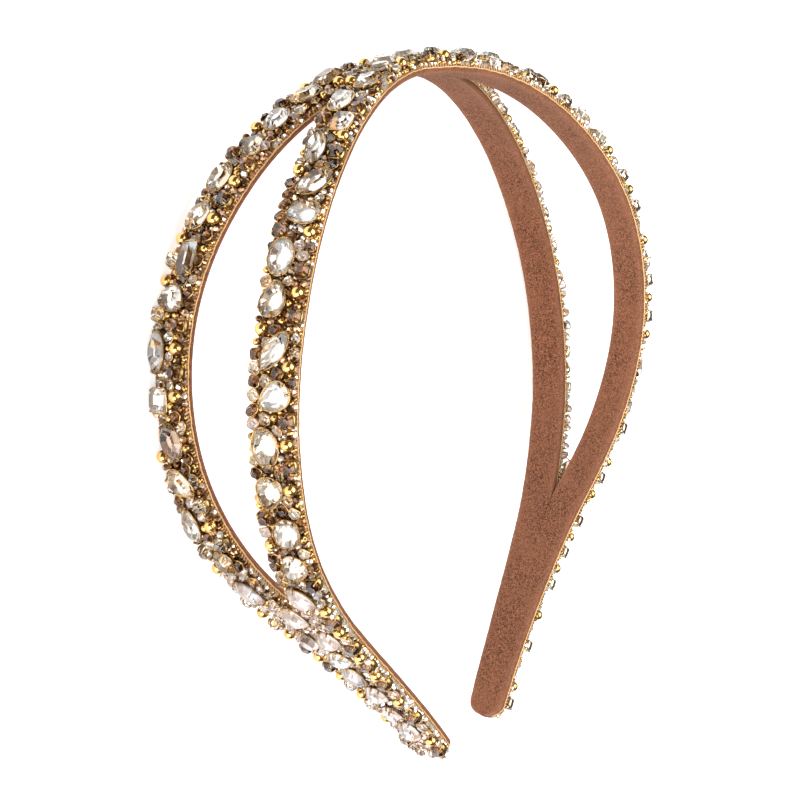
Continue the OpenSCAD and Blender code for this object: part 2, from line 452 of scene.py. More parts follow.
def lathed(rows, sides):
    """Points of a shape turned around the x axis, from rows of place and radius."""
    a = np.arange(sides) * math.tau / sides
    y, z = np.cos(a), np.sin(a)
    return np.concatenate([np.column_stack((np.full(sides, x), w * y, w * z)) for x, w in rows])


def stacked(rows):
    """Points of flat outlines, each at its height."""
    return np.concatenate([np.column_stack((line, np.full(len(line), z))) for line, z in rows])


# Kinds of a stone's facets
GLASS, FOIL = 0, 1


def fancy_cut(outline, base, top):
    """A rounded cut: a girdle, large crown facets, a table and a foiled back of long facets."""
    n, m, rise = len(outline), len(outline) // 2, top - base
    mains = outline[0::2]
    girdle = base + GIRDLE * rise
    rows = ((outline, girdle), (outline, girdle + BAND * rise), (mains * 0.58, top), (mains * 0.42, base))
    verts = stacked(rows)
    g0, g1, flat, culet = np.cumsum([0, n, n, m])
    front, behind = band_faces(g0, g1, n), []
    for i in range(m):
        a, b, c, j = 2 * i, 2 * i + 1, (2 * i + 2) % n, (i + 1) % m
        front += [[g1 + a, g1 + b, g1 + c], [g1 + a, g1 + c, flat + j, flat + i]]
        behind += [[g0 + b, g0 + a, culet + i], [g0 + c, g0 + b, culet + i, culet + j]]
    front.append([flat + i for i in range(m)])
    behind.append([culet + i for i in range(m)][::-1])
    return verts, front + behind, [GLASS] * len(front) + [FOIL] * len(behind)


def step_cut(outline, base, top):
    """A cut in straight steps over an eight-sided outline."""
    n, rise = len(outline), top - base
    girdle = base + GIRDLE * rise
    top_step = girdle + 0.36 * rise
    rows = ((1.0, girdle), (1.0, girdle + BAND * rise), (0.82, top_step), (0.62, top), (0.36, base))
    verts = stacked([(outline * k, z) for k, z in rows])
    front = tube_faces(4, n) + [[3 * n + i for i in range(n)]]
    behind = band_faces(4 * n, 0, n) + [[4 * n + i for i in range(n)][::-1]]
    return verts, front + behind, [GLASS] * len(front) + [FOIL] * len(behind)


def wire_ring(outline, z, r, sides=6):
    """A wire bent around an outline."""
    n, a = len(outline), np.arange(sides) * math.tau / sides
    verts = stacked([(grown(outline, r * c), z + r * s) for c, s in zip(np.cos(a), np.sin(a))])
    return verts, tube_faces(sides, n) + band_faces((sides - 1) * n, 0, n)


def claw(foot, over, base, top, width):
    """A claw from the foot of a setting up and over the edge of its stone."""
    out = (foot - over) / np.linalg.norm(foot - over)
    side = np.array((-out[1], out[0]))
    # place, height, share of the width
    path = (
        (foot - out * 0.12, base, 0.5),
        (foot, base + (top - base) * 0.7, 0.5),
        (foot * 0.62 + over * 0.38, top, 0.52),
        (over, top + 0.03, 0.36),
    )
    rows, t = [], width * 0.32
    for p, z, share in path:
        half, ridge = side * (width * share), p + out * t
        rows += [
            (*(p + half), z),
            (*(ridge + half * 0.5), z + t * 0.4),
            (*(ridge - half * 0.5), z + t * 0.4),
            (*(p - half), z),
            (*(p - out * t * 0.7), z - t * 0.4),
        ]
    faces = [face[::-1] for face in tube_faces(4, 5)]
    return np.array(rows), faces + [[0, 1, 2, 3, 4], [19, 18, 17, 16, 15]]


def cup(outline, base, rim):
    """An open cup of thin metal around an outline."""
    n, flare = len(outline), 0.12
    rows = ((-0.2, base), (flare * 0.5, base + 0.04), (flare, rim), (0.03, rim + 0.02), (0.02, rim - 0.35))
    verts = stacked([(grown(outline, out), z) for out, z in rows])
    return verts, tube_faces(5, n) + [list(range(n))[::-1]]


def drilled(r, hole, rings=12, sides=20, squash=1.0):
    """A bead around its own x axis, with a thread hole through it."""
    start = math.asin(min(0.9, hole / r))
    rows = [(r * math.cos(t) * squash, r * math.sin(t)) for t in np.linspace(start, math.pi - start, rings)]
    rows = [(rows[0][0] - 0.3 * r, hole * 0.8), *rows, (rows[-1][0] + 0.3 * r, hole * 0.8)]
    return lathed(rows, sides), tube_faces(len(rows), sides)


def cut_bead(r, long, sides=6):
    """A six-sided glass bead around its own x axis, cut to a cone at each end."""
    rows = ((-long, r * 0.5), (-long * 0.3, r), (long * 0.3, r), (long, r * 0.5))
    ends = [list(range(sides)), [3 * sides + i for i in range(sides)][::-1]]
    return lathed(rows, sides), [face[::-1] for face in tube_faces(4, sides)] + ends


def spin(verts, turn, tip=0.0):
    """A shape turned about its outward axis after it is tipped."""
    c, s = math.cos(tip), math.sin(tip)
    verts = verts @ np.array(((c, 0, s), (0, 1, 0), (-s, 0, c)))
    c, s = math.cos(turn), math.sin(turn)
    return verts @ np.array(((c, s, 0), (-s, c, 0), (0, 0, 1)))


# Shader maths


class Wire:
    """A socket with arithmetic."""

    def __init__(self, net, socket):
        self.net, self.socket = net, socket

    def do(self, operation, *values):
        """A Math node's result."""
        return self.net.node("ShaderNodeMath", {"operation": operation}, *values)

    def __add__(self, other):
        return self.do("ADD", self, other)

    def __mul__(self, other):
        return self.do("MULTIPLY", self, other)

    __radd__, __rmul__ = __add__, __mul__

    def zigzag(self, period):
        """Rises from 0 to 1 and falls back, again and again."""
        return self.do("PINGPONG", self * (2 / period), 1.0)


class Net:
    """The nodes of one material or world."""

    def __init__(self, name, world=False):
        self.data = (bpy.data.worlds if world else bpy.data.materials).new(name)
        self.data.use_nodes = True
        self.tree = self.data.node_tree
        self.tree.nodes.clear()

    def node(self, kind, settings=None, *ordered, out=0, **named):
        """A node of a type, its settings and the values or links of its sockets, in order or by name."""
        made = self.tree.nodes.new(kind)
        for key, value in (settings or {}).items():
            if key == "stops":
                elements = made.color_ramp.elements
                while len(elements) < len(value):
                    elements.new(0.5)
                for element, (place, tint) in zip(elements, value):
                    element.position, element.color = place, (*tint, 1.0)
            else:
                setattr(made, key, value)
        for key, value in [*enumerate(ordered), *((k.replace("_", " "), v) for k, v in named.items())]:
            self.plug(made.inputs[key], value)
        return Wire(self, made.outputs[out]) if made.outputs else made

    def plug(self, socket, value):
        """Link or set a socket."""
        if isinstance(value, Wire):
            self.tree.links.new(value.socket, socket)
        else:
            rgba = socket.type == "RGBA" and len(value) == 3
            socket.default_value = (*value, 1.0) if rgba else value

    def noise(self, scale, detail=2.0, rough=0.5, curl=0.0):
        """Noise in the part's own metres, 0 to 1."""
        place = self.node("ShaderNodeTexCoord", out=3)
        return self.node(
            "ShaderNodeTexNoise", Vector=place, Scale=scale, Detail=detail, Roughness=rough, Distortion=curl)

    def number(self, name):
        """A number that the mesh's points carry."""
        return self.node("ShaderNodeAttribute", {"attribute_name": name}, out=2)

    def mix(self, share, a, b):
        """Colour a, with a share of colour b."""
        made = self.node("ShaderNodeMix", {"data_type": "RGBA"}, share, out=2)
        owner = made.socket.node
        self.plug(owner.inputs[6], a)
        self.plug(owner.inputs[7], b)
        return made

    def ramp(self, value, stops):
        """The colour that a value has between the stops."""
        return self.node("ShaderNodeValToRGB", {"stops": stops}, value)

    def span(self, value, low, high, a=0.0, b=1.0):
        """A value from low to high, stretched to run from a to b."""
        return self.node("ShaderNodeMapRange", {}, value, low, high, a, b)

    def bump(self, height, strength, distance):
        """A rough surface's normal, its depth in metres."""
        return self.node("ShaderNodeBump", Height=height, Strength=strength, Distance=distance)

    def surface(self, **sockets):
        """The finished material."""
        shader = self.node("ShaderNodeBsdfPrincipled", {}, **sockets)
        self.node("ShaderNodeOutputMaterial", {}, shader)
        return self.data


def shade(tint, k):
    """A colour made k times as light."""
    return tuple(min(1.0, c * k) for c in tint)


# Materials


def suede_material(look):
    """Napped suede with worm-like tufts, with a painted highlight along its rolled edges."""
    net = Net("suede")
    nap = net.noise(3400, 0, 0.5, 1.6)
    tufts = net.noise(1300, 2, 0.6, 1.4)
    cloud = net.noise(80, 3, 0.6)
    pile = nap * 0.88 + tufts * 0.12
    deep = shade((look.suede[0], look.suede[1] * 0.85, look.suede[2] * 0.75), 0.28)
    tint = net.mix(net.span(pile, 0.41, 0.6), deep, shade(look.suede, 1.5))
    tint = net.mix(net.span(cloud, 0.42, 0.62) * 0.35, tint, shade(look.suede, 1.25))
    # Painted highlight: the suede is lighter and paler near its edges, as if its rolled edges caught the
    # light
    rubbed = shade((look.suede[0], look.suede[1] * 1.12, look.suede[2] * 1.25), 1.5)
    tint = net.mix(net.number("edge") * 0.45, tint, rubbed)
    return net.surface(
        Base_Color=tint, Roughness=0.95, Specular_IOR_Level=0.12, Sheen_Weight=0.12, Sheen_Roughness=0.5,
        Sheen_Tint=(1.0, 0.82, 0.68, 1.0), Normal=net.bump(pile, 0.9, 0.00028))


def cord_material(look):
    """Twisted metallic thread."""
    net = Net("gold_thread")
    fibre = net.noise(4200, 2)
    worn = net.noise(300, 2)
    tint = net.mix(net.span(fibre, 0.35, 0.65), shade(look.thread, 0.75), shade(look.thread, 1.25))
    tint = net.mix(net.span(worn, 0.42, 0.7) * 0.25, tint, shade(look.thread, 0.6))
    return net.surface(
        Base_Color=tint, Metallic=0.15, Roughness=net.span(fibre, 0.3, 0.7, 0.3, 0.5),
        Normal=net.bump(fibre, 0.4, 0.00006))


def facing_material(look):
    """Brown cloth, overcast with slanting gold stitches."""
    net = Net("stitched_facing")
    along, rise = net.number("along"), net.number("rise")
    fibre = net.noise(3600, 2)
    stitch = (along + rise * 0.35 + fibre * 0.12).zigzag(0.7)
    thread = net.span(stitch, 0.55, 0.7)
    tint = net.mix(thread, shade(look.suede, 0.55), shade(look.thread, 0.8))
    tint = net.mix(net.span(fibre, 0.4, 0.65) * 0.4, tint, shade(look.suede, 0.3))
    return net.surface(
        Base_Color=tint, Metallic=thread * 0.5, Roughness=0.5,
        Normal=net.bump(stitch + fibre * 0.3, 0.6, 0.00015))


def ground_and_shade_material(look):
    """Woven cloth, made dark as painted shade in the gaps between the stones."""
    net = Net("ground_cloth")
    fibre = net.noise(2600, 2)
    tint = net.mix(net.span(fibre, 0.35, 0.65), shade(look.cloth, 0.4), shade(look.cloth, 1.5))
    return net.surface(Base_Color=tint, Roughness=0.75, Normal=net.bump(fibre, 0.6, 0.0002))


def metal_material(name, tint, dark, rough):
    """Antique metal, tarnished in patches, each small shape a little different."""
    net = Net(name)
    patina = net.noise(1100, 3, 0.6)
    grain = net.noise(4200, 2)
    share = net.span(patina * 0.65 + net.number("tone") * 0.35, 0.4, 0.8)
    wear = net.span(patina * 0.6 + grain * 0.4, 0.3, 0.7, rough, rough + 0.16)
    return net.surface(
        Base_Color=net.mix(share, tint, dark), Metallic=1.0, Roughness=wear,
        Normal=net.bump(grain, 0.12, 0.00004))


def pale_metal():
    """The light metal of the settings on the right half."""
    return metal_material("pale_metal", (0.88, 0.80, 0.66), (0.40, 0.30, 0.20), 0.1)


# Shades that the foiled facets of each kind of stone run through, from the darkest facet on: painted
# reflections, from dark ones through the foil's colour to white painted highlights, with blue-grey painted
# reflections at the top of the clear and opal ones
FOIL_TINTS_AND_REFLECTIONS = {
    "clear": (
        (0.0, (0.05, 0.025, 0.01)), (0.18, (0.48, 0.26, 0.10)), (0.35, (1.0, 0.88, 0.74)),
        (0.88, (1.0, 1.0, 1.0)), (1.0, (0.58, 0.72, 0.90))),
    "champagne": (
        (0.0, (0.035, 0.015, 0.005)), (0.22, (0.34, 0.15, 0.035)), (0.45, (0.95, 0.54, 0.20)),
        (0.62, (1.0, 0.88, 0.70)), (1.0, (1.0, 1.0, 0.98))),
    "umber": (
        (0.0, (0.025, 0.012, 0.006)), (0.4, (0.14, 0.062, 0.026)), (0.7, (0.50, 0.27, 0.12)),
        (1.0, (1.0, 0.92, 0.80))),
    "opal": (
        (0.0, (0.42, 0.26, 0.18)), (0.15, (0.95, 0.72, 0.62)), (0.6, (1.0, 0.92, 0.88)),
        (0.85, (0.98, 0.86, 0.84)), (1.0, (0.36, 0.50, 0.70))),
    "chips": (
        (0.0, (0.05, 0.02, 0.008)), (0.3, (0.32, 0.14, 0.045)), (0.52, (0.85, 0.48, 0.19)),
        (0.74, (1.0, 0.88, 0.74)), (1.0, (1.0, 1.0, 0.98))),
}
# Kinds of large stones: foil, how much of it mirrors, and their shares on the strands and on the tails
STONE_KINDS = (
    ("clear", 0.55, 0.36, 0.2),
    ("champagne", 0.66, 0.51, 0.08),
    ("umber", 0.66, 0.06, 0.02),
    ("opal", 0.35, 0.07, 0.7),
)


def glass_material(name, tint):
    """Clear glass, with painted shade making some facets a little darker."""
    net = Net(name)
    # Painted shade: the points' value darkens some facets
    tint = net.mix(net.number("tone") * 0.5, tint, shade(tint, 0.82))
    return net.surface(Base_Color=tint, Roughness=0.0, IOR=1.6, Transmission_Weight=1.0)


def foil_material(name, stops, mirror=0.66):
    """Foil seen through a stone: every facet of its back shows its own painted reflection, from dark ones to
    white highlights.
    """
    net = Net(name)
    cloud = net.noise(900, 2)
    # Painted reflections: the points' value picks each facet's shade from the stops
    tint = net.ramp(net.number("tone") * 0.9 + cloud * 0.1, stops)
    return net.surface(Base_Color=tint, Metallic=mirror, Roughness=0.13)


def stone_materials(name, tint, foil, mirror=0.66):
    """The glass and the foil of one kind of stone."""
    return [glass_material(name + "_glass", tint), foil_material(name + "_foil", FOIL_TINTS_AND_REFLECTIONS[foil], mirror)]


def cut_bead_material():
    """Foil-lined cut glass: each bead has its own tone, and every facet its own painted shade for the light
    that it reflects.
    """
    net = Net("cut_bead_glass")
    # Each bead's tone, spread facet by facet into painted shades
    tint = net.ramp(net.number("tone"), FOIL_TINTS_AND_REFLECTIONS["chips"])
    return net.surface(Base_Color=tint, Metallic=0.7, Roughness=0.12, Coat_Weight=1.0, Coat_Roughness=0.02)


# Operators


class PieceOperator:
    """What the operators share."""

    bl_options = {"REGISTER", "UNDO"}

    def start(self, context):
        """The hoop, three groups of settings and seeded chance."""
        s = context.scene.headband
        return Hoop(s.strand), s.strand, s.stones, s.look, np.random.default_rng(s.stones.seed)

    def shades(self, rng, count):
        """Painted shades of a stone's facets, light and dark ones in turn by chance, standing in for the
        reflections and highlights that the facets catch.
        """
        facet_tones_and_light = rng.choice((0.03, 0.25, 0.5, 0.75, 0.9), count, p=(0.18, 0.17, 0.13, 0.28, 0.24))
        facet_tones_and_light = facet_tones_and_light + rng.uniform(-0.1, 0.1, count)
        # The culet always gets a light painted shade
        facet_tones_and_light[-1] = rng.uniform(0.6, 1.0)
        return np.clip(facet_tones_and_light, 0, 1)


class HEADBAND_OT_ground(PieceOperator, bpy.types.Operator):
    """Give the cloth core of each strand its cloth, made dark as painted shade between the stones"""

    bl_idname = "headband.ground"
    bl_label = "Ground cloth"

    def execute(self, context):
        cloth = ground_and_shade_material(context.scene.headband.look)
        for name, _ in STRANDS:
            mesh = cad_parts[name + "_ground"].data
            mesh.materials.clear()
            mesh.materials.append(cloth)
        return {"FINISHED"}


class HEADBAND_OT_lining(PieceOperator, bpy.types.Operator):
    """Line both strands with one suede skin that parts where they do"""

    bl_idname = "headband.lining"
    bl_label = "Suede lining"

    # Past each fork the two skins meet in a crease: the forks' distances from the crown, and over
    # how many millimetres it fades to a third
    crown_fork, tail_fork, fade = 18, 143, 11
    # How far in from its edges the suede's painted highlight reaches, and how far its sides reach out past
    # its back
    rubbed, overlap = 1.5, 0.15

    def execute(self, context):
        hoop, sizes, _, look, _ = self.start(context)
        body = np.arange(0.0, hoop.half - hoop.tip_l, 1.0)
        end = hoop.half - hoop.tip_l * (1 - np.sin(np.radians(np.arange(0, 90, 7.5))))
        s = np.concatenate((-np.concatenate((body, end))[:0:-1], body, end))
        inner, outer, parted = hoop.inner(s), hoop.outer(s), hoop.parted(s) > 0
        past = np.maximum(0, np.maximum(self.crown_fork - np.abs(s), np.abs(s) - self.tail_fork))
        bend_out = np.minimum(sizes.round_edge, (outer - inner) / 3)
        bend_in = bend_out * np.where(parted, 1, np.exp(-past / self.fade))
        ripple = 0.05 * np.sin(s * 0.41) + 0.04 * np.sin(s * 0.93 + 1)
        arc = np.linspace(0, math.pi / 2, 6)
        low, high = hoop.lining_low, hoop.lining_high
        columns = [(inner + bend_in * (1 - math.cos(a)), low + bend_in * (1 - math.sin(a))) for a in arc]
        flat = outer - bend_out - inner - bend_in
        columns += [(inner + bend_in + flat * k / 10, low + 0 * s) for k in range(1, 10)]
        columns += [(outer - bend_out * (1 - math.sin(a)), low + bend_out * (1 - math.cos(a))) for a in arc]
        columns += [(outer, high + self.overlap + 0 * s), (inner, high + self.overlap + 0 * s)]
        across, height = np.stack([c[0] for c in columns], 1), np.stack([c[1] for c in columns], 1)
        from_edge = np.where(parted[:, None], across - inner[:, None], sizes.width)
        from_edge = np.minimum(outer[:, None] - across, from_edge)
        # How much of the painted edge highlight each point carries
        edge = np.clip(1 - from_edge / self.rubbed, 0, 1)
        rows, n = across.shape
        faces = sheet_faces(rows, n, closed=True)
        shut = np.repeat(~(parted[:-1] | parted[1:]), n) & (np.tile(np.arange(n), rows - 1) == n - 1)
        faces = faces[~shut]
        across = across + 0.5 * ripple[:, None] * (across > 0)
        verts = [hoop.at(side, s[:, None], across, height).reshape(-1, 3) for _, side in STRANDS]
        faces = np.concatenate((faces, faces[:, ::-1] + rows * n))
        piece = build(
            "suede_lining", np.concatenate(verts), faces, [suede_material(look)], "suede",
            attrs={"edge": np.tile(edge.ravel(), 2)})
        weld(piece, 2e-6)
        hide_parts("front_lining", "back_lining")
        return {"FINISHED"}


def edge_lines(hoop):
    """The edges that carry trim: side, places along, places across and the way out."""
    full = np.arange(-hoop.half + 0.02, hoop.half, STEP)
    eye = np.arange(15, 150, STEP)  # where a strand is apart from the other, with some to spare
    eye = eye[hoop.parted(eye) > 0.25]
    for _, side in STRANDS:
        yield side, full, hoop.outer(full), 1
        for s in (-eye, eye):
            yield side, s, hoop.inner(s), -1


def strips(name, grids, closed, material, slot, **numbers):
    """A piece of grids of points, one along each edge, and the numbers that their points carry."""
    verts, faces, attrs, count = [], [], {}, 0
    for grid in grids:
        verts.append(grid.reshape(-1, 3))
        faces.append(sheet_faces(*grid.shape[:2], closed) + count)
        count += len(verts[-1])
    for key, rows in numbers.items():
        spread = [np.broadcast_to(row, grid.shape[:2]).ravel() for row, grid in zip(rows, grids)]
        attrs[key] = np.concatenate(spread)
    weld(build(name, np.concatenate(verts), np.concatenate(faces), [material], slot, attrs=attrs))


class HEADBAND_OT_edges(PieceOperator, bpy.types.Operator):
    """Run the stitched facing, its gold cord and a fold of suede along every edge"""

    bl_idname = "headband.edges"
    bl_label = "Edge facing and cords"

    def cord(self, hoop, name, thick, h, push, twist, material, slot, sides=8):
        """A cord along every edge, at a height and pushed out from the edge."""
        turn, grids = np.arange(sides) * math.tau / sides, []
        for side, s, w, way in edge_lines(hoop):
            s, w = s[:, None], w[:, None]
            wave = 0.04 * np.sin(s * 2.3) + 0.03 * np.sin(s * 0.9)
            r = thick / 2 * (1 + twist * np.cos(2 * (turn - s * math.pi / 0.9)))
            grids.append(hoop.at(side, s, w + way * push + r * np.sin(turn), h + wave + r * np.cos(turn)))
        # The suede piping carries the suede's painted edge highlight over its whole fold; the gold thread
        # doesn't read it
        strips(name, grids, True, material, slot, edge=[0.7] * len(grids))

    def execute(self, context):
        hoop, sizes, _, look, _ = self.start(context)
        low, high = hoop.ground_low, hoop.ground_high
        # how far out from the edge, height
        profile = (
            (-0.1, low - 0.03), (0.03, low), (0.07, low + 0.35),
            (0.07, high - 0.25), (0.0, high + 0.03), (-0.35, high + 0.04))
        rise, lines = np.arange(len(profile)) / 3.0, list(edge_lines(hoop))
        grids = []
        for side, s, w, way in lines:
            grids.append(np.stack([hoop.at(side, s, w + way * out, h) for out, h in profile], 1))
        strips(
            "edge_facing", grids, False, facing_material(look), "cloth",
            along=[s[:, None] for _, s, _, _ in lines], rise=[rise] * len(grids))
        thread, suede = cord_material(look), suede_material(look)
        self.cord(hoop, "gold_cords", sizes.cord, low + 0.02, 0.1, 0.25, thread, "gold")
        self.cord(hoop, "suede_piping", sizes.piping, hoop.lining_low + 0.6, 0.0, 0.03, suede, "suede")
        return {"FINISHED"}


class HEADBAND_OT_crystals(PieceOperator, bpy.types.Operator):
    """Cut the large stones and hold each in a cup and a wire with four claws"""

    bl_idname = "headband.crystals"
    bl_label = "Large stones"

    def execute(self, context):
        hoop, _, stones, look, rng = self.start(context)
        mats = []
        for name, mirror, _, _ in STONE_KINDS:
            mats += stone_materials(name, look.glass, name, mirror)
        on_strands, on_tails = ([row[k] for row in STONE_KINDS] for k in (2, 3))
        brass = metal_material("setting_brass", (0.50, 0.31, 0.12), (0.12, 0.06, 0.025), 0.15)
        for name, side in STRANDS:
            gems, wires = Pile(), Pile()
            for seat, flat, base, top in seats(hoop, name + "_crystals", side):
                outline = from_long_end(hull(flat))
                stepped = len(outline) <= 8
                if not stepped:
                    outline = rounded(outline, 2 * len(outline))
                verts, faces, kinds = (step_cut if stepped else fancy_cut)(outline, base, top)
                kind = rng.choice(len(STONE_KINDS), p=on_tails if abs(seat.s) > TAILS else on_strands)
                # Each facet gets a painted shade, standing in for the light that it reflects
                facet_tones_and_light = self.shades(rng, len(faces))
                gems.add_facets(seat.out(verts), faces, np.array(kinds) + 2 * kind, facet_tones_and_light)
                girdle, low, t = base + GIRDLE * (top - base), hoop.ground_high + 0.05, rng.random()
                tip, n, r = girdle + 0.32 * (top - base), len(outline), stones.wire / 2
                shapes = [wire_ring(grown(outline, r * 0.5), girdle + 0.12, r)]
                shapes.append(cup(grown(outline, -0.9), low, base + 0.35))
                if stepped:
                    feet = [(outline[k] + outline[(k + 1) % n]) / 2 for k in (0, 2, 4, 6)]
                else:
                    feet = [outline[k] for k in (1, n // 2 - 1, n // 2 + 1, n - 1)]
                for p in feet:
                    d = (p - outline.mean(0)) / np.linalg.norm(p - outline.mean(0))
                    shapes.append(claw(p + d * 0.12, p - d * 0.5, low, tip, stones.claw))
                for verts, faces in shapes:
                    wires.add(seat.out(verts), faces, int(seat.s > PALE_METAL), t)
            piece = gems.done(name + "_cut_stones", mats, "crystal", smooth=False)
            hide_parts(name + "_crystals")
            wires.done(name + "_settings", [brass, pale_metal()], "gold")
        return {"FINISHED"}


class HEADBAND_OT_chatons(PieceOperator, bpy.types.Operator):
    """Cut the small round stones, smoky and pale, each in a square cup with four claws"""

    bl_idname = "headband.chatons"
    bl_label = "Small round stones"

    # Outline of a cup, a square with cut corners, for a stone of radius 1
    square = np.array((
        (1, -0.55), (1, 0.55), (0.55, 1), (-0.55, 1), (-1, 0.55), (-1, -0.55), (-0.55, -1), (0.55, -1)))

    def execute(self, context):
        hoop, _, stones, look, rng = self.start(context)
        mats = stone_materials("brown", look.smoke, "umber")
        mats += stone_materials("pale", look.glass, "champagne")
        brass = metal_material("cup_brass", shade(look.gold, 0.75), shade(look.gold, 0.18), 0.22)
        for name, side in STRANDS:
            gems, cups = Pile(), Pile()
            for seat, flat, base, top in seats(hoop, name + "_chatons", side):
                verts, faces, kinds = fancy_cut(rounded(hull(flat), 16), base, top)
                r, right = np.abs(flat).max(), seat.s > PALE_METAL
                pale = rng.random() < (0.8 if right else 0.3)
                # Each facet gets a painted shade, standing in for the light that it reflects
                facet_tones_and_light = self.shades(rng, len(faces))
                gems.add_facets(seat.out(verts), faces, np.array(kinds) + 2 * pale, facet_tones_and_light)
                girdle, low, t = base + GIRDLE * (top - base), hoop.ground_high + 0.05, rng.random()
                tip = girdle + 0.36 * (top - base)
                shapes = [cup(r * self.square, low, girdle - 0.12)]
                for a in np.radians((45, 135, 225, 315)):
                    d, foot = np.array((math.cos(a), math.sin(a))), hoop.ground_high + 0.1
                    shapes.append(claw(d * (r + 0.2), d * (r - 0.42), foot, tip, stones.claw))
                for verts, faces in shapes:
                    cups.add(seat.out(verts), faces, int(right), t)
            piece = gems.done(name + "_round_stones", mats, "smoky_stone", smooth=False)
            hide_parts(name + "_chatons")
            cups.done(name + "_round_cups", [brass, pale_metal()], "gold")
        return {"FINISHED"}


class HEADBAND_OT_beads(PieceOperator, bpy.types.Operator):
    """Put a polished gold bead with a thread hole in each bead's place"""

    bl_idname = "headband.beads"
    bl_label = "Gold beads"

    def execute(self, context):
        hoop, _, stones, look, rng = self.start(context)
        gold = metal_material("bead_gold", look.gold, shade(look.gold, 0.3), 0.12)
        for name, side in STRANDS:
            pile = Pile()
            for seat, _, low, high in seats(hoop, name + "_beads", side, flat=False):
                verts, faces = drilled((high - low) / 2, stones.hole / 2)
                # Each bead gets a random tone and is darker towards the cloth below it
                tone_and_dark_underside = 0.4 * rng.random() + 1.1 * np.clip(-0.1 - verts[:, 2], 0, 1)
                verts = spin(verts, rng.uniform(-0.5, 0.5)) + (0, 0, (high + low) / 2)
                pile.add(seat.out(verts), faces, 0, tone_and_dark_underside)
            piece = pile.done(name + "_gold_beads", [gold], "gold")
            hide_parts(name + "_beads")
        return {"FINISHED"}


